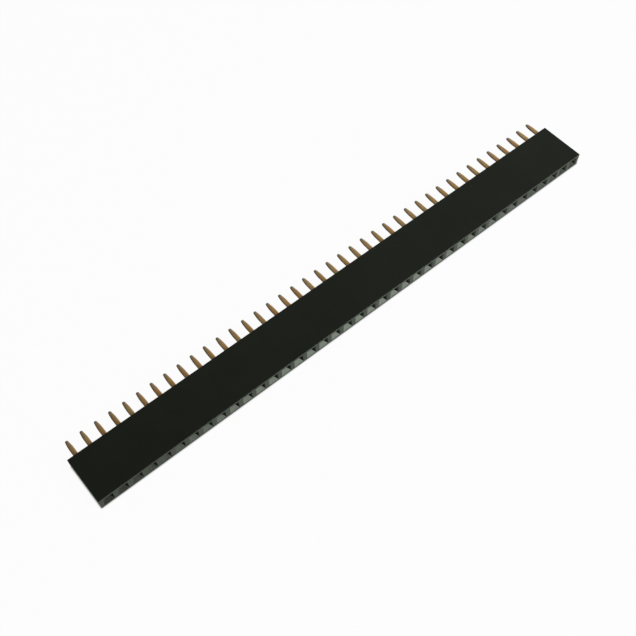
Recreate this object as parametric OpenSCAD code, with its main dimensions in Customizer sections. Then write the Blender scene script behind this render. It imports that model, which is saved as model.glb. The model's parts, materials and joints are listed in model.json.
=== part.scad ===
// Single-row female pin header strip with straight solder tails.
// +X runs along the row, +Y points from the mating face to the tails, and +Z is up,
// with the strip lying on one of its broad sides.
// The origin is under the middle of the strip and its tails. Lengths are in millimetres.

/* [Strip] */
// Number of contacts in the row
contacts = 40; // [2:1:50]
// Distance from one contact to the next
pitch = 2.54; // [2.3:0.01:4]
// Plastic at each end of the row, beyond half a pitch
end_margin = 0.25; // [0:0.05:1]

/* [Housing] */
// Height of the housing, from the mating face to the board face
housing_h = 8.5; // [6.5:0.1:14]
// Thickness of the housing, across the row
housing_t = 2.5; // [2:0.1:5]
// Chamfer on the outer edges
edge_break = 0.08; // [0.02:0.01:0.1]

/* [Sockets] */
// Width of the square post that a socket takes
post_w = 0.64; // [0.5:0.01:0.7]
// Play on each side of the post, in the hole that guides it
post_play = 0.12; // [0.05:0.01:0.15]
// Width of the square mouth in the mating face
mouth_w = 1.8; // [1.2:0.05:1.85]
// Depth of the four-sided funnel that leads the post in
funnel_d = 0.75; // [0.3:0.05:1.2]
// Length of the guide hole behind the funnel
guide_l = 0.5; // [0.2:0.05:1]

/* [Contact] */
// Thickness of the sheet that a contact is stamped from
sheet_t = 0.25; // [0.15:0.01:0.3]
// Radius inside each fold of the sheet
fold_r = 0.12; // [0.05:0.01:0.15]
// Width of the folded channel, over its two side walls
channel_w = 1.8; // [1.6:0.05:1.9]
// Height of the folded channel, across the housing's thickness
channel_h = 1.2; // [1:0.05:1.4]
// Length of the folded channel, along the post
channel_l = 0.9; // [0.4:0.05:1.5]
// How much the post pushes each spring leaf aside
grip = 0.1; // [0.02:0.01:0.15]
// Width of a spring leaf where it grips the post
leaf_w = 0.75; // [0.5:0.05:0.95]
// How far each flared leaf tip stands back behind the edge of the guide hole
flare_cover = 0.05; // [0.02:0.01:0.1]
// Length of the flared tip, from the grip to its end
flare_l = 1; // [0.5:0.05:1.5]
// Free space between the guide hole and the leaf tips
leaf_gap = 0.15; // [0.05:0.05:0.5]

/* [Seat] */
// Clearance between the contact and the housing, where they don't touch
slip = 0.03; // [0.01:0.01:0.06]
// Length of the flat plate that carries the barbs
barb_plate_l = 0.7; // [0.5:0.05:1.2]
// Number of barbs on each edge of the plate
barbs = 2; // [1:1:2]
// Height of a barb above the edge of its plate
barb_h = 0.1; // [0.04:0.01:0.15]
// Flat top of a barb, which bears on the housing
barb_flat = 0.05; // [0.02:0.01:0.08]
// Gap behind each barb
barb_gap = 0.1; // [0.05:0.01:0.12]
// How far each shoulder stands out past the channel's wall
shoulder_step = 0.12; // [0.08:0.01:0.15]
// Length of the shoulder
shoulder_l = 0.35; // [0.2:0.05:0.5]
// How far the shoulder lies inside the board face
shoulder_inset = 0.5; // [0.2:0.05:0.8]

/* [Solder tail] */
// Width of the tail at its root
tail_w = 0.79; // [0.6:0.01:0.9]
// Length of the tail beyond the board face
tail_l = 3.1; // [2.5:0.1:6]
// How far each edge of the tail comes in towards its blunt tip
tail_narrowing = 0.16; // [0.05:0.01:0.2]
// Length over which the tail narrows, slowly at first
tail_taper_l = 1.7; // [0.8:0.1:2]
// Length of the tip that is coined thin
coin_l = 0.35; // [0.2:0.05:0.6]
// Thickness of the coined end
coin_t = 0.12; // [0.05:0.01:0.14]

/* [Hidden] */

strip_l = contacts * pitch + 2 * end_margin;
mid_y = (housing_h + tail_l) / 2;
mid_z = housing_t / 2;
overcut = 0.5;

// Stations along a contact, from the mating face
guide_end_y = funnel_d + guide_l;
leaf_tip_y = guide_end_y + leaf_gap;
grip_y = leaf_tip_y + flare_l;
tail_tip_y = housing_h + tail_l;
taper_y = tail_tip_y - tail_taper_l;

// Heights above the post's axis
channel_z = -channel_h / 2;
web_z = channel_z + sheet_t / 2;
fold_top_z = channel_z + sheet_t + fold_r;
bend_r = fold_r + sheet_t / 2;

shoulder_end_y = housing_h - shoulder_inset;
shoulder_y = shoulder_end_y - shoulder_l;
plate_y = shoulder_y - barb_plate_l;
channel_y = plate_y - channel_l;

// Widths across a contact
guide_w = post_w + 2 * post_play;
grip_gap = post_w - 2 * grip;
flare_gap = guide_w + 2 * flare_cover;
cavity_w = channel_w + 2 * slip;
plate_w = cavity_w - 2 * barb_h;
shoulder_w = cavity_w + 2 * shoulder_step;
pocket_w = shoulder_w + 2 * slip;
barb_pitch = barb_plate_l / barbs;
barb_l = barb_pitch - barb_gap;
tip_half = tail_w / 2 - tail_narrowing;
tip_corner = tip_half / 2;

// Length over which the forms of one contact run into each other
lap = 0.2;

bend_steps = 4;
leaf_steps = 9;
flare_steps = 4;
taper_steps = 5;

function contact_name(i) = str("contact_", i < 10 ? "0" : "", i);
function contact_x(i) = (i - (contacts + 1) / 2) * pitch;

// Outline of a strip of sheet that follows a path, given half its thickness at each point
function tangent(path, i) =
    let (step = path[min(i + 1, len(path) - 1)] - path[max(i - 1, 0)])
    step / norm(step);
function left_of(path, i) =
    let (t = tangent(path, i))
    [-t[1], t[0]];
function ribbon(path, half) = concat(
    [for (i = [0 : len(path) - 1]) path[i] + half[i] * left_of(path, i)],
    [for (i = [len(path) - 1 : -1 : 0]) path[i] - half[i] * left_of(path, i)]
);
function even_ribbon(path) = ribbon(path, [for (p = path) sheet_t / 2]);

// Half a cosine wave, from 0 to 1, and the first quarter of one, which grows steeper to its end
function ease(u) = (1 - cos(180 * u)) / 2;
function curl(u) = 1 - cos(90 * u);

// Arc of a bend, from one angle to another about a centre
function arc(centre, from, to) = [
    for (k = [0 : bend_steps])
        let (a = from + (to - from) * k / bend_steps)
        centre + bend_r * [cos(a), sin(a)]
];

// Extrudes an XY outline along Z, a YZ outline along X, or an XZ outline along Y
module along_z(low, high)
    translate([0, 0, low])
        linear_extrude(high - low) children();
module along_x(half)
    rotate([90, 0, 90])
        translate([0, 0, -half])
            linear_extrude(2 * half) children();
module along_y(low, high)
    translate([0, high, 0])
        rotate([90, 0, 0])
            linear_extrude(high - low) children();

// Rectangle from one corner to another, with its corners cut off
module cut_rectangle(low, high, cut)
    polygon([
        [low[0] + cut, low[1]], [high[0] - cut, low[1]],
        [high[0], low[1] + cut], [high[0], high[1] - cut],
        [high[0] - cut, high[1]], [low[0] + cut, high[1]],
        [low[0], high[1] - cut], [low[0], low[1] + cut]
    ]);

// Housing's outer block, with each outer edge broken by a chamfer
module block() {
    half_l = strip_l / 2;
    half_t = housing_t / 2;
    intersection() {
        along_z(-half_t, half_t)
            cut_rectangle([-half_l, 0], [half_l, housing_h], edge_break);
        along_x(half_l)
            cut_rectangle([0, -half_t], [housing_h, half_t], edge_break);
        along_y(0, housing_h)
            cut_rectangle([-half_l, -half_t], [half_l, half_t], edge_break);
    }
}

// Section of the square mouth: the funnel runs on past the mating face at its own slope
module mouth_section() {
    slope = (mouth_w - guide_w) / 2 / funnel_d;
    outer = mouth_w / 2 + slope * overcut;
    inner = guide_w / 2;
    polygon([
        [-outer, -overcut], [outer, -overcut],
        [inner, funnel_d], [inner, guide_end_y + slip],
        [-inner, guide_end_y + slip], [-inner, funnel_d]
    ]);
}

// Space for one contact: funnel and guide hole, spring cavity, and pocket for the shoulder
module socket() {
    intersection() {
        along_z(-mouth_w, mouth_w) mouth_section();
        rotate([0, 90, 0])
            along_z(-mouth_w, mouth_w) mouth_section();
    }
    translate([-cavity_w / 2, guide_end_y, channel_z])
        cube([cavity_w, housing_h - guide_end_y + overcut, channel_h + slip]);
    translate([-pocket_w / 2, shoulder_y, channel_z])
        cube([pocket_w, housing_h - shoulder_y + overcut, channel_h + slip]);
}

// Channel: a web and two side walls, folded up from one strip
module channel() {
    wall_x = (channel_w - sheet_t) / 2;
    bend_x = wall_x - bend_r;
    bend_z = web_z + bend_r;
    path = concat(
        [[-wall_x, channel_h / 2]],
        arc([-bend_x, bend_z], 180, 270),
        arc([bend_x, bend_z], 270, 360),
        [[wall_x, channel_h / 2]]
    );
    along_y(channel_y, plate_y)
        polygon(even_ribbon(path));
}

// Spring leaf on the +X side: it curves in from the channel's wall to grip the post,
// then flares out, and it narrows towards its tip
module leaf() {
    wall_x = (channel_w - sheet_t) / 2;
    grip_x = (grip_gap + sheet_t) / 2;
    flare_x = (flare_gap + sheet_t) / 2;
    spring_l = channel_y - grip_y;
    path = concat(
        [[wall_x, channel_y + lap]],
        [for (k = [0 : leaf_steps])
            let (u = 1 - k / leaf_steps)
            [grip_x + (wall_x - grip_x) * ease(u), grip_y + spring_l * u]],
        [for (k = [1 : flare_steps])
            let (u = k / flare_steps)
            [grip_x + (flare_x - grip_x) * curl(u), grip_y - flare_l * u]]
    );
    intersection() {
        along_z(channel_z, -channel_z)
            polygon(even_ribbon(path));
        along_x(channel_w)
            polygon([
                [channel_y, fold_top_z], [channel_y + lap, fold_top_z],
                [channel_y + lap, channel_h / 2], [channel_y, channel_h / 2],
                [grip_y, leaf_w / 2], [leaf_tip_y - sheet_t, leaf_w / 2],
                [leaf_tip_y - sheet_t, -leaf_w / 2], [grip_y, -leaf_w / 2]
            ]);
    }
}

// Outline of the flat blank behind the channel: barbed plate, shoulder, neck and tapered tail
module blank_outline() {
    barb_edge = [
        for (k = [0 : barbs - 1])
            let (y = plate_y + k * barb_pitch)
            each [
                [plate_w / 2, y], [cavity_w / 2, y + barb_l - barb_flat],
                [cavity_w / 2, y + barb_l], [plate_w / 2, y + barb_l]
            ]
    ];
    corner_y = tail_tip_y - tip_corner;
    tail_edge = [
        for (k = [0 : taper_steps])
            let (u = k / taper_steps)
            [tail_w / 2 - tail_narrowing * curl(u), taper_y + (corner_y - taper_y) * u]
    ];
    web_half = channel_w / 2 - sheet_t - fold_r;
    edge = concat([[web_half, plate_y - lap], [web_half, plate_y]], barb_edge, [
        [plate_w / 2, shoulder_y],
        [shoulder_w / 2, shoulder_y],
        [shoulder_w / 2, shoulder_end_y],
        [tail_w / 2, shoulder_end_y]
    ], tail_edge, [[tip_half - tip_corner, tail_tip_y]]);
    last = len(edge) - 1;
    polygon(concat(edge, [for (i = [last : -1 : 0]) [-edge[i][0], edge[i][1]]]));
}

// Side view of the same blank: one flat sheet, in line with the web, with its tip coined thin
module blank_side() {
    path = [[plate_y - lap, web_z], [tail_tip_y - coin_l, web_z], [tail_tip_y, web_z]];
    polygon(ribbon(path, [sheet_t / 2, sheet_t / 2, coin_t / 2]));
}

// Turns the webs to the upper broad side, and sets the row on its lower one
module at_row()
    translate([0, -mid_y, mid_z])
        mirror([0, 0, 1])
            children();

// Moulded housing with a socket for each contact
module housing()
    color("#1d1d1b")
        at_row()
            difference() {
                block();
                for (i = [1 : contacts])
                    translate([contact_x(i), 0, 0]) socket();
            }

// Stamped contact: two spring leaves on a folded channel, barbed plate, shoulder and tail
module contact(i)
    color("#a8803f")
        at_row()
            translate([contact_x(i), 0, 0]) {
                channel();
                leaf();
                mirror([1, 0, 0]) leaf();
                intersection() {
                    along_z(channel_z, -channel_z) blank_outline();
                    along_x(channel_w) blank_side();
                }
            }

housing();
for (i = [1 : contacts])
    contact(i);
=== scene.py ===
import json
import math

import bmesh
import bpy
from mathutils import Matrix, Quaternion, Vector

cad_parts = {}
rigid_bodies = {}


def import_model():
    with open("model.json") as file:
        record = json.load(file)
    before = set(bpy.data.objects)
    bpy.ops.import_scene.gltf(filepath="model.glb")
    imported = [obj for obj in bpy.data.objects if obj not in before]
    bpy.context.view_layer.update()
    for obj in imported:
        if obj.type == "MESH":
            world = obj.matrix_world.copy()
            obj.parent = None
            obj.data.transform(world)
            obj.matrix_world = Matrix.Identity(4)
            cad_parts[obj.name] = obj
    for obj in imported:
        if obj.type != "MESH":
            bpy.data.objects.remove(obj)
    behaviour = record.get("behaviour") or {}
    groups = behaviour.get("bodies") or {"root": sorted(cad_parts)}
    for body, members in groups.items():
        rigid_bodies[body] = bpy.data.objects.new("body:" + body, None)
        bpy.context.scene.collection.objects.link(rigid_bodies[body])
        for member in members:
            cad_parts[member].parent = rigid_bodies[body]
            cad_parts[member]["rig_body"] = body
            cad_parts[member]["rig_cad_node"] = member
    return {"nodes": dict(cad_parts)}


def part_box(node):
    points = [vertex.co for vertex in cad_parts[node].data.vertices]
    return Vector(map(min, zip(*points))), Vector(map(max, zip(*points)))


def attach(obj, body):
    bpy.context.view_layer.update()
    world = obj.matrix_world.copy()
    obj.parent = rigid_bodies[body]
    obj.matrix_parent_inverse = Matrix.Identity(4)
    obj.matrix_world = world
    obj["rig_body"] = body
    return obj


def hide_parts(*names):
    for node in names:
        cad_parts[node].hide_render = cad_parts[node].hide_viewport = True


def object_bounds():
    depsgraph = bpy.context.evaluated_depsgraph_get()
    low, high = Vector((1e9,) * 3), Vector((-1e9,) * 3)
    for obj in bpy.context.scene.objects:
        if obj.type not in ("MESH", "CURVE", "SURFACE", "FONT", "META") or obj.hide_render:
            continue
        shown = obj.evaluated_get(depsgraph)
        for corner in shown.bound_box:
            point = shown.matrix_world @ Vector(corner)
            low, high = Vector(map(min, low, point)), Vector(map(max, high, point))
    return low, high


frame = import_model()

MM = 0.001

# ---------------------------------------------------------------- sizes from the frame

cad_low, cad_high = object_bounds()
housing_low, housing_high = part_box("housing")
contact_names = sorted(name for name in frame["nodes"] if name.startswith("contact_"))


def centre_x(name):
    low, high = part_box(name)
    return (low.x + high.x) / 2


first_x = centre_x(contact_names[0])
pitch = centre_x(contact_names[1]) - first_x
board_y = housing_high.y
tip_y = cad_high.y
middle = (cad_low + cad_high) / 2
sheet_t = 0.25 * MM
tail_w = 0.79 * MM
tail_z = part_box(contact_names[0])[1].z - sheet_t / 2
middle_z = (housing_low.z + housing_high.z) / 2

# ---------------------------------------------------------------- sizes of a socket, in millimetres

mouth_w = 1.8
funnel_d = 0.75
guide_w = 0.88
guide_l = 0.5
channel_h = 1.2
cavity_w = 1.86
pocket_w = 2.16
pocket_depth = 0.85
slip = 0.03

# Rounding of the housing's outer edges, and the share of it on the edges of the sockets
edge_rounding = 0.05
socket_rounding_share = 0.4

# Vertices nearer than this are one point
same_point = 0.001

# ---------------------------------------------------------------- shader helpers


class Value:
    """A socket on its way through a shader. Arithmetic on a number adds Math nodes."""

    def __init__(self, shader, socket):
        self.shader = shader
        self.socket = socket

    def _maths(self, operation, *inputs):
        return self.shader.node("ShaderNodeMath", dict(enumerate(inputs)), operation=operation)

    def __add__(self, other):
        return self._maths("ADD", self, other)

    def __sub__(self, other):
        return self._maths("SUBTRACT", self, other)

    def __rsub__(self, other):
        return self._maths("SUBTRACT", other, self)

    def __mul__(self, other):
        return self._maths("MULTIPLY", self, other)

    def __truediv__(self, other):
        return self._maths("DIVIDE", self, other)

    def __abs__(self):
        return self._maths("ABSOLUTE", self)

    __radd__ = __add__
    __rmul__ = __mul__

    def floor(self):
        return self._maths("FLOOR", self)

    def cosine(self):
        return self._maths("COSINE", self)

    def least(self, other):
        return self._maths("MINIMUM", self, other)

    def most(self, other):
        return self._maths("MAXIMUM", self, other)

    def rise(self, start, end):
        """Smooth step from 0 at start to 1 at end, which may lie below start."""
        sockets = {"Value": self, "From Min": start, "From Max": end}
        return self.shader.node("ShaderNodeMapRange", sockets, interpolation_type="SMOOTHSTEP")


class Shader:
    """Node tree of one material or of the world."""

    def __init__(self, owner):
        owner.use_nodes = True
        self.tree = owner.node_tree
        self.tree.nodes.clear()

    def node(self, kind, sockets=None, output=0, stops=None, **settings):
        """Adds a node: its settings first, then a ramp's stops, then its sockets."""
        made = self.tree.nodes.new(kind)
        for name, setting in settings.items():
            setattr(made, name, setting)
        if stops:
            elements = made.color_ramp.elements
            while len(elements) < len(stops):
                elements.new(1)
            for element, (place, colour) in zip(elements, stops):
                element.position = place
                element.color = (*colour, 1)
        for name, value in (sockets or {}).items():
            socket = made.inputs[name]
            if isinstance(value, Value):
                self.tree.links.new(value.socket, socket)
            elif socket.type == "RGBA":
                socket.default_value = (*value, 1)
            else:
                socket.default_value = value
        return Value(self, made.outputs[output])

    def place(self):
        """Where the point lies on the piece, in metres."""
        return self.node("ShaderNodeTexCoord", output="Object")

    def axes(self, vector):
        """The three coordinates of a vector, each as a number."""
        split = self.node("ShaderNodeSeparateXYZ", {"Vector": vector}).socket.node
        return [Value(self, socket) for socket in split.outputs]

    def noise(self, place, size, detail=2.0):
        """Cloudy noise from 0 to 1. A size of three numbers stretches its grain."""
        sizes = size if isinstance(size, tuple) else (size,) * 3
        grain = self.node(
            "ShaderNodeMapping", {"Vector": place, "Scale": tuple(1 / s for s in sizes)}
        )
        return self.node("ShaderNodeTexNoise", {"Vector": grain, "Scale": 1.0, "Detail": detail})

    def specks(self, place, spacing, radius, share):
        """Scattered round specks, 1 inside each. Only a share of them is kept."""
        grid = self.node(
            "ShaderNodeVectorMath", {0: place, "Scale": 1 / spacing}, operation="SCALE"
        )
        near = self.node("ShaderNodeTexVoronoi", {"Vector": grid, "Scale": 1.0})
        cell = self.node("ShaderNodeTexVoronoi", {"Vector": grid, "Scale": 1.0}, output="Color")
        kept = self.axes(cell)[0].rise(share, share * 0.95)
        return near.rise(radius / spacing, radius / spacing / 2) * kept

    def chance(self, seed):
        """Random number from 0 to 1, always the same for the same seed."""
        return self.node("ShaderNodeTexWhiteNoise", {"W": seed}, noise_dimensions="1D")

    def mix(self, factor, first, second):
        """Blend of two colours, by the colour sockets of the Mix node."""
        sockets = {0: factor, 6: first, 7: second}
        return self.node("ShaderNodeMix", sockets, output=2, data_type="RGBA")

    def bump(self, height, depth, below=None):
        """Relief in which a height of 1 stands out by the depth."""
        sockets = {"Height": height, "Distance": depth, "Strength": 1.0}
        if below:
            sockets["Normal"] = below
        return self.node("ShaderNodeBump", sockets)

    def finish(self, surface, kind="ShaderNodeOutputMaterial"):
        end = self.tree.nodes.new(kind)
        self.tree.links.new(surface.socket, end.inputs["Surface"])


def new_material(name):
    material = bpy.data.materials.new(name)
    return material, Shader(material)


# ---------------------------------------------------------------- finishes


def moulded_plastic():
    """Black glass-filled plastic: a satin skin with flow streaks, sinks, and edges lightened partly
    by rubbing and partly by a painted highlight.
    """
    material, shader = new_material("moulded_black_plastic")
    place = shader.place()
    x, y, z = shader.axes(place)

    cloud = shader.noise(place, 5 * MM, detail=3.0)
    streaks = shader.noise(place, (0.2 * MM, 3 * MM, 0.2 * MM), detail=3.0)
    skin = shader.noise(place, 0.08 * MM, detail=3.0)
    grain = shader.noise(place, 0.025 * MM, detail=2.0)
    swell = shader.noise(place, 0.8 * MM)
    dust = shader.specks(place, spacing=1 * MM, radius=0.06 * MM, share=0.06)

    # Distance to the nearest outer edge: the middle one of the distances to the faces
    half_l = housing_high.x
    half_t = (housing_high.z - housing_low.z) / 2
    from_end = half_l - abs(x)
    from_side = half_t - abs(z - middle_z)
    from_narrow = (y - housing_low.y).least(housing_high.y - y)
    from_edge = from_end.least(from_side).most(from_end.most(from_side).least(from_narrow))
    # Lighter near the outer edges: partly rubbed wear, partly a painted highlight where light
    # catches the edges.
    rubbed_highlight_ends = 0.16 * MM
    rubbed_highlight_fullest = 0.04 * MM
    rubbed_and_highlit = from_edge.rise(rubbed_highlight_ends, rubbed_highlight_fullest) * (0.4 + 0.6 * streaks)

    # The skin shrinks back a little over the hollow behind each contact
    sink = ((x - first_x) * (2 * math.pi / pitch)).cosine()

    deep_black = (0.0052, 0.0058, 0.0037)
    soft_black = (0.0066, 0.0074, 0.0047)
    rubbed_grey_and_highlight = (0.015, 0.016, 0.013)
    dust_grey = (0.16, 0.17, 0.15)
    colour = shader.mix(cloud.rise(0.35, 0.65), deep_black, soft_black)
    # Painted edge highlight, partly rubbed wear: the edges are blended towards a lighter grey.
    colour = shader.mix(rubbed_and_highlit, colour, rubbed_grey_and_highlight)
    colour = shader.mix(dust, colour, dust_grey)
    roughness = 0.20 + 0.06 * streaks + 0.04 * cloud - 0.04 * rubbed_and_highlit + 0.3 * dust

    relief = shader.bump(sink, -0.002 * MM)
    relief = shader.bump(swell, 0.003 * MM, relief)
    relief = shader.bump(skin, 0.0006 * MM, relief)
    relief = shader.bump(grain, 0.0007 * MM, relief)
    greenish_gloss = (0.87, 1.0, 0.82)
    surface = shader.node(
        "ShaderNodeBsdfPrincipled",
        {
            "Base Color": colour,
            "Roughness": roughness,
            "IOR": 1.48,
            "Specular Tint": greenish_gloss,
            "Normal": relief,
        },
    )
    shader.finish(surface)
    return material


def plated_bronze():
    """Thin gold-coloured plating over rolled bronze, each contact a little different."""
    material, shader = new_material("plated_bronze")
    place = shader.place()
    x, y = shader.axes(place)[:2]
    contact = ((x - first_x) / pitch + 0.5).floor()
    along = (y - board_y) / (tip_y - board_y)

    grain = shader.noise(place, (0.03 * MM, 0.8 * MM, 0.03 * MM), detail=3.0)
    cloud = shader.noise(place, 0.5 * MM, detail=3.0)
    blotch = shader.noise(place, 0.12 * MM)

    yellow_gold = (0.76, 0.54, 0.23)
    red_gold = (0.77, 0.42, 0.155)
    dull_gold = (0.65, 0.455, 0.25)
    worn_grey = (0.42, 0.36, 0.245)
    bronze_streak = (0.34, 0.20, 0.075)
    redness = shader.chance(contact) * 0.5 + cloud * 0.5
    dulled = (along + cloud * 0.3).rise(0.5, 1.0)
    worn = (along + blotch * 0.08).rise(0.86, 0.98)
    colour = shader.mix(redness.rise(0.1, 0.9), yellow_gold, red_gold)
    colour = shader.mix(dulled, colour, dull_gold)
    colour = shader.mix(worn, colour, worn_grey)
    colour = shader.mix(grain.rise(0.55, 0.75) * 0.3, colour, bronze_streak)
    roughness = 0.37 + 0.12 * grain + 0.08 * shader.chance(contact + 0.5) + 0.1 * worn

    # Stamping draws the sheet down a little along the two sides of a tail
    drawn_w = 0.17 * MM
    drawn_depth = 0.023 * MM
    comes_in = 0.2 * MM
    half_w = tail_w / 2 - along.rise(0.4, 1.1) * comes_in
    from_side = half_w - abs(x - first_x - contact * pitch)
    inwards = (from_side / drawn_w).least(1)
    top_of_tail = inwards * (2 - inwards) * along.rise(-0.02, 0.0)

    relief = shader.bump(cloud, 0.004 * MM)
    relief = shader.bump(grain, 0.0015 * MM, relief)
    relief = shader.bump(top_of_tail, drawn_depth, relief)
    surface = shader.node(
        "ShaderNodeBsdfPrincipled",
        {"Base Color": colour, "Metallic": 1.0, "Roughness": roughness, "Normal": relief},
    )
    shader.finish(surface)
    return material


def sheared_bronze_in_painted_shade():
    """Cut edge of the sheet: a smooth burnished band, then a rough darker break, both painted much
    darker than bare bronze as shade on the tails' narrow sides.
    """
    material, shader = new_material("sheared_bronze_in_painted_shade")
    place = shader.place()
    z = shader.axes(place)[2]
    across = (z - tail_z) / sheet_t + 0.5
    ragged = shader.noise(place, (0.05 * MM, 0.05 * MM, 0.2 * MM), detail=3.0)
    broken = (across + (ragged - 0.5) * 0.4).rise(0.7, 0.55)
    pits = shader.noise(place, 0.03 * MM, detail=3.0)

    # Painted shade: both browns are far darker than bare bronze, and stand in for the shade on the
    # cut sides.
    burnished_brown_painted_shade = (0.19, 0.105, 0.045)
    broken_brown_painted_shade = (0.09, 0.05, 0.025)
    colour = shader.mix(broken, burnished_brown_painted_shade, broken_brown_painted_shade)
    roughness = 0.38 + 0.2 * broken
    relief = shader.bump(pits * broken, 0.006 * MM)
    surface = shader.node(
        "ShaderNodeBsdfPrincipled",
        {"Base Color": colour, "Metallic": 1.0, "Roughness": roughness, "Normal": relief},
    )
    shader.finish(surface)
    return material


# ---------------------------------------------------------------- pieces


def only(piece):
    """Makes a piece the only selected and the active one."""
    bpy.ops.object.select_all(action="DESELECT")
    piece.select_set(True)
    bpy.context.view_layer.objects.active = piece


def copy_of(source, name):
    """A new piece with its own mesh, the same as the source's."""
    only(source)
    bpy.ops.object.duplicate()
    piece = bpy.context.active_object
    piece.name = piece.data.name = name
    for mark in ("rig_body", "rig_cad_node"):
        if mark in piece:
            del piece[mark]
    return piece


def clean_copy(node, name):
    """Copy of a CAD node with its corners joined up and its flat faces made whole."""
    piece = copy_of(frame["nodes"][node], name)
    bpy.ops.object.mode_set(mode="EDIT")
    bpy.ops.mesh.select_all(action="SELECT")
    bpy.ops.mesh.remove_doubles(threshold=same_point * MM)
    bpy.ops.mesh.dissolve_degenerate(threshold=same_point * MM)
    bpy.ops.mesh.tris_convert_to_quads(
        face_threshold=math.radians(0.5), shape_threshold=math.radians(180)
    )
    bpy.ops.object.mode_set(mode="OBJECT")
    return piece


def round_edges(piece, width, segments, angle):
    """Rounds each edge that is sharper than the angle.

    Clamping is off, because one very short edge would hold back the rounding everywhere.
    """
    only(piece)
    bevel = piece.modifiers.new("rounded_edges", "BEVEL")
    bevel.width = width
    bevel.segments = segments
    bevel.angle_limit = math.radians(angle)
    bevel.use_clamp_overlap = False
    bpy.ops.object.modifier_apply(modifier=bevel.name)
    bpy.ops.object.shade_smooth_by_angle(angle=math.radians(angle))


def finish_piece(piece, node):
    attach(piece, "root")
    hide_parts(node)


def selected_box(mesh):
    """Lowest and highest corner of the selected vertices in edit mode."""
    corners = [v.co for v in bmesh.from_edit_mesh(mesh).verts if v.select]
    low = Vector([min(c[axis] for c in corners) for axis in range(3)])
    high = Vector([max(c[axis] for c in corners) for axis in range(3)])
    return low, high


def pick(mesh, kind, wanted):
    """Selects the faces or edges that pass a test, and nothing else, in edit mode."""
    bpy.ops.mesh.select_mode(type="FACE" if kind == "faces" else "EDGE")
    bpy.ops.mesh.select_all(action="DESELECT")
    shape = bmesh.from_edit_mesh(mesh)
    for element in getattr(shape, kind):
        element.select_set(wanted(element))
    bmesh.update_edit_mesh(mesh)


def next_section(mesh, y, width, low_z, high_z):
    """Extrudes the selected face to a rectangle at y, centred on the socket."""
    bpy.ops.mesh.extrude_region()
    low, high = selected_box(mesh)
    centre = (low + high) / 2
    size = high - low
    bpy.ops.transform.resize(
        value=(width / size.x, 1, (high_z - low_z) / size.z), center_override=centre
    )
    bpy.ops.transform.translate(value=Vector((0, y, (low_z + high_z) / 2)) - centre)


def make_socket_cell():
    """One pitch of the housing, with its socket cut through, in millimetres."""
    size = (housing_high - housing_low) / MM
    front_y, back_y = housing_low.y / MM, housing_high.y / MM
    socket_z = size.z / 2
    bpy.ops.object.select_all(action="DESELECT")
    bpy.ops.mesh.primitive_cube_add(
        size=1,
        location=(0, (front_y + back_y) / 2, socket_z),
        scale=(pitch / MM, size.y, size.z),
    )
    cell = bpy.context.active_object
    cell.name = cell.data.name = "moulded_housing"
    bpy.ops.object.transform_apply(location=True, rotation=False, scale=True)
    bpy.ops.object.mode_set(mode="EDIT")
    mesh = cell.data

    pick(mesh, "faces", lambda face: abs(face.normal.x) > 0.5)
    bpy.ops.mesh.delete(type="ONLY_FACE")

    web_z = socket_z + channel_h / 2
    floor_z = socket_z - channel_h / 2 - slip
    guide_end_y = front_y + funnel_d + guide_l
    sections = [
        (front_y, mouth_w, socket_z - mouth_w / 2, socket_z + mouth_w / 2),
        (front_y + funnel_d, guide_w, socket_z - guide_w / 2, socket_z + guide_w / 2),
        (guide_end_y, guide_w, socket_z - guide_w / 2, socket_z + guide_w / 2),
        (guide_end_y, cavity_w, floor_z, web_z),
        (back_y - pocket_depth, cavity_w, floor_z, web_z),
        (back_y - pocket_depth, pocket_w, floor_z, web_z),
        (back_y, pocket_w, floor_z, web_z),
    ]
    pick(mesh, "faces", lambda face: face.normal.y < -0.5)
    for section in sections:
        next_section(mesh, *section)
    bpy.ops.mesh.delete(type="FACE")

    # The cell's own back face is larger than any step inside the socket
    smallest_back = size.z * 2
    pick(mesh, "faces", lambda face: face.normal.y > 0.5 and face.calc_area() > smallest_back)
    next_section(mesh, *sections[-1])
    bpy.ops.mesh.delete(type="FACE")
    bpy.ops.mesh.select_all(action="SELECT")
    bpy.ops.mesh.remove_doubles(threshold=same_point)
    bpy.ops.mesh.dissolve_degenerate(threshold=same_point)
    bpy.ops.object.mode_set(mode="OBJECT")
    return cell


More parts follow.
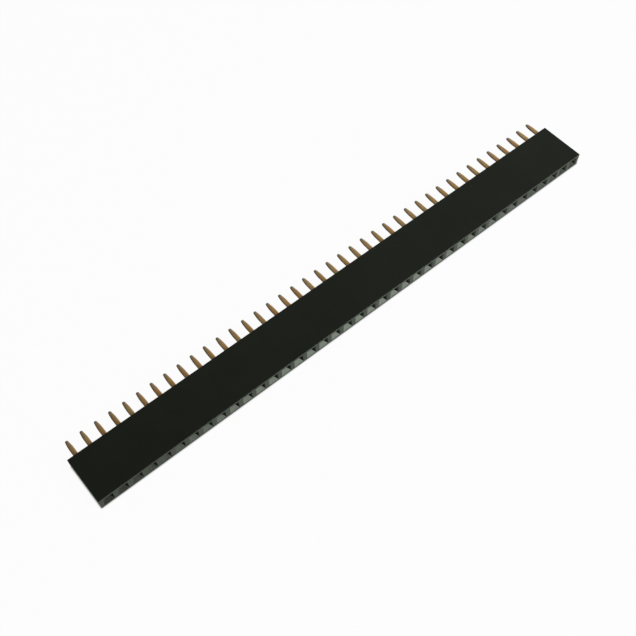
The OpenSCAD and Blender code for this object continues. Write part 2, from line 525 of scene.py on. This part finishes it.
def make_housing():
    """A row of socket cells, closed at its two ends and rounded along its edges."""
    housing = make_socket_cell()
    housing.data.transform(Matrix.Translation((first_x / MM, 0, 0)))
    row = housing.modifiers.new("row_of_cells", "ARRAY")
    row.count = len(contact_names)
    row.use_relative_offset = False
    row.use_constant_offset = True
    row.constant_offset_displace = (pitch / MM, 0, 0)
    row.use_merge_vertices = True
    row.merge_threshold = same_point
    bpy.ops.object.modifier_apply(modifier=row.name)

    half_l = housing_high.x / MM
    bpy.ops.object.mode_set(mode="EDIT")
    mesh = housing.data
    for side in (-1, 1):
        pick(mesh, "edges", lambda edge: edge.is_boundary and edge.verts[0].co.x * side > 0)
        row_end_x = selected_box(mesh)[0].x
        bpy.ops.mesh.extrude_edges_move(
            TRANSFORM_OT_translate={"value": (side * half_l - row_end_x, 0, 0)}
        )
        bpy.ops.mesh.edge_face_add()
    bpy.ops.mesh.select_all(action="SELECT")
    bpy.ops.mesh.normals_make_consistent(inside=False)

    low, high = housing_low / MM, housing_high / MM

    def on_faces(edge):
        """How many of the block's six faces the edge lies in."""
        ends = [vertex.co for vertex in edge.verts]
        return sum(
            all(abs(end[axis] - limit[axis]) < same_point for end in ends)
            for axis in range(3)
            for limit in (low, high)
        )

    def set_rounding(wanted, share):
        pick(mesh, "edges", wanted)
        bpy.ops.transform.edge_bevelweight(value=share)

    sharp = math.radians(20)
    set_rounding(lambda edge: on_faces(edge) > 1, 1)
    set_rounding(
        lambda edge: on_faces(edge) < 2 and edge.calc_face_angle(0) > sharp,
        socket_rounding_share,
    )
    bpy.ops.object.mode_set(mode="OBJECT")

    only(housing)
    bevel = housing.modifiers.new("rounded_edges", "BEVEL")
    bevel.limit_method = "WEIGHT"
    bevel.width = edge_rounding
    bevel.segments = 3
    bevel.use_clamp_overlap = False
    bpy.ops.object.modifier_apply(modifier=bevel.name)

    # From millimetres, in which the modifiers work well, to metres
    housing.data.transform(Matrix.Scale(MM, 4))
    bpy.ops.object.shade_smooth_by_angle(angle=math.radians(40))
    even = housing.modifiers.new("flat_faces_stay_flat", "WEIGHTED_NORMAL")
    even.keep_sharp = True
    bpy.ops.object.modifier_apply(modifier=even.name)

    housing.data.materials.clear()
    housing.data.materials.append(moulded_plastic())
    finish_piece(housing, "housing")


def make_contacts():
    """Finishes one contact, and copies it along the row."""
    first = clean_copy(contact_names[0], "stamped_contact_01")
    round_edges(first, width=0.015 * MM, segments=2, angle=28)
    first.data.materials.clear()
    first.data.materials.append(plated_bronze())
    first.data.materials.append(sheared_bronze_in_painted_shade())
    # The steep faces of the tails get the cut-edge finish, with its painted shade.
    steep = 0.6
    for face in first.data.polygons:
        if face.center.y > board_y and abs(face.normal.z) < steep:
            face.material_index = 1
    others = [
        copy_of(first, name.replace("contact", "stamped_contact")) for name in contact_names[1:]
    ]
    for name, piece in zip(contact_names, [first, *others]):
        piece.data.transform(Matrix.Translation((centre_x(name) - first_x, 0, 0)))
        finish_piece(piece, name)


# ---------------------------------------------------------------- studio


def direction(azimuth, elevation):
    """Unit vector from its compass angle, 0 along +Y and 90 along +X, and its rise."""
    a, e = math.radians(azimuth), math.radians(elevation)
    return Vector((math.sin(a) * math.cos(e), math.cos(a) * math.cos(e), math.sin(e)))


def facing(toward):
    return toward.to_track_quat("-Z", "Y")


def make_floor():
    """Plain white floor, darker only close to where the strip touches it."""
    bpy.ops.object.select_all(action="DESELECT")
    bpy.ops.mesh.primitive_plane_add(size=6, location=(0, 0, 0))
    floor = bpy.context.active_object
    floor.name = "studio_floor"
    material, shader = new_material("studio_floor")
    camera, mirror, through = [
        shader.node("ShaderNodeLightPath", output=kind)
        for kind in ("Is Camera Ray", "Is Glossy Ray", "Is Transmission Ray")
    ]
    seen_share = 0.96
    mirrored_share = 0.34
    glowing = (camera + through) * seen_share + mirror * mirrored_share

    # The plastic's gloss is greenish even at a slant, where the floor is what it mirrors
    plain_white = (1.0, 1.0, 1.0)
    greenish_white = (0.84, 1.02, 0.80)
    glow_colour = shader.mix(mirror, plain_white, greenish_white)

    shadow_reach = 0.25 * MM
    unshaded = shader.node("ShaderNodeAmbientOcclusion", {"Distance": shadow_reach}, 1, samples=8)
    glow_colour = shader.mix(unshaded, (0.0, 0.0, 0.0), glow_colour)
    paper = shader.node("ShaderNodeBsdfDiffuse", {"Color": (0.86, 0.86, 0.86)})
    glow = shader.node("ShaderNodeEmission", {"Color": glow_colour, "Strength": 1.0})
    shader.finish(shader.node("ShaderNodeMixShader", {0: glowing, 1: paper, 2: glow}))
    floor.data.materials.append(material)


def softbox(name, azimuth, elevation, distance, width, height, radiance):
    """Rectangular lamp that faces the strip."""
    lamp = bpy.data.lights.new(name, "AREA")
    lamp.shape = "RECTANGLE"
    lamp.size = width
    lamp.size_y = height
    lamp.energy = 4 * radiance * width * height
    lit = bpy.data.objects.new(name, lamp)
    bpy.context.scene.collection.objects.link(lit)
    away = direction(azimuth, elevation)
    lit.location = away * distance
    lit.rotation_mode = "QUATERNION"
    lit.rotation_quaternion = facing(-away)


def light_the_room():
    """Pale walls round the strip, darker upwards and away from the window, and a softbox."""
    world = bpy.data.worlds.new("studio_room")
    bpy.context.scene.world = world
    shader = Shader(world)
    ray = shader.node("ShaderNodeTexCoord", output="Generated")
    x, y, height = shader.axes(ray)

    # How bright the walls are at each height, from the horizon to near the zenith
    brightness = [(0.0, 1.0), (0.2, 0.95), (0.45, 0.42), (0.72, 0.33), (0.86, 0.29), (0.95, 0.12)]
    walls = shader.node(
        "ShaderNodeValToRGB",
        {"Fac": height},
        stops=[(up, (grey, grey, grey)) for up, grey in brightness],
    )
    away_from_window = (0.57 * y - 0.82 * x).rise(0.15, 0.6)
    darkening = 0.85
    walls = shader.mix(away_from_window * darkening, walls, (0.0, 0.0, 0.0))
    camera = shader.node("ShaderNodeLightPath", output="Is Camera Ray")
    backdrop = shader.mix(camera, walls, (0.98, 0.98, 0.98))
    room = shader.node("ShaderNodeBackground", {"Color": backdrop, "Strength": 1.0})
    shader.finish(room, "ShaderNodeOutputWorld")

    softbox(
        "key_softbox",
        azimuth=150.5,
        elevation=42,
        distance=0.6,
        width=0.30,
        height=0.30,
        radiance=5.4,
    )


def place_camera():
    """Looks down on the strip from its mating side, near its -X end."""
    camera = bpy.data.cameras.new("camera")
    camera.sensor_width = 36
    camera.lens = 52.15
    camera.clip_start = 0.01
    stand = bpy.data.objects.new("camera", camera)
    bpy.context.scene.collection.objects.link(stand)

    aim = middle + Vector((-6.58, -1.56, 0)) * MM
    distance = 149.5 * MM
    roll = Quaternion((0, 0, 1), math.radians(-1.24))
    away = direction(azimuth=180 + 38.6, elevation=58.23)
    stand.location = aim + away * distance
    stand.rotation_mode = "QUATERNION"
    stand.rotation_quaternion = facing(-away) @ roll
    bpy.context.scene.camera = stand


make_housing()
make_contacts()
make_floor()
light_the_room()
place_camera()
bpy.context.scene.view_settings.view_transform = "Standard"
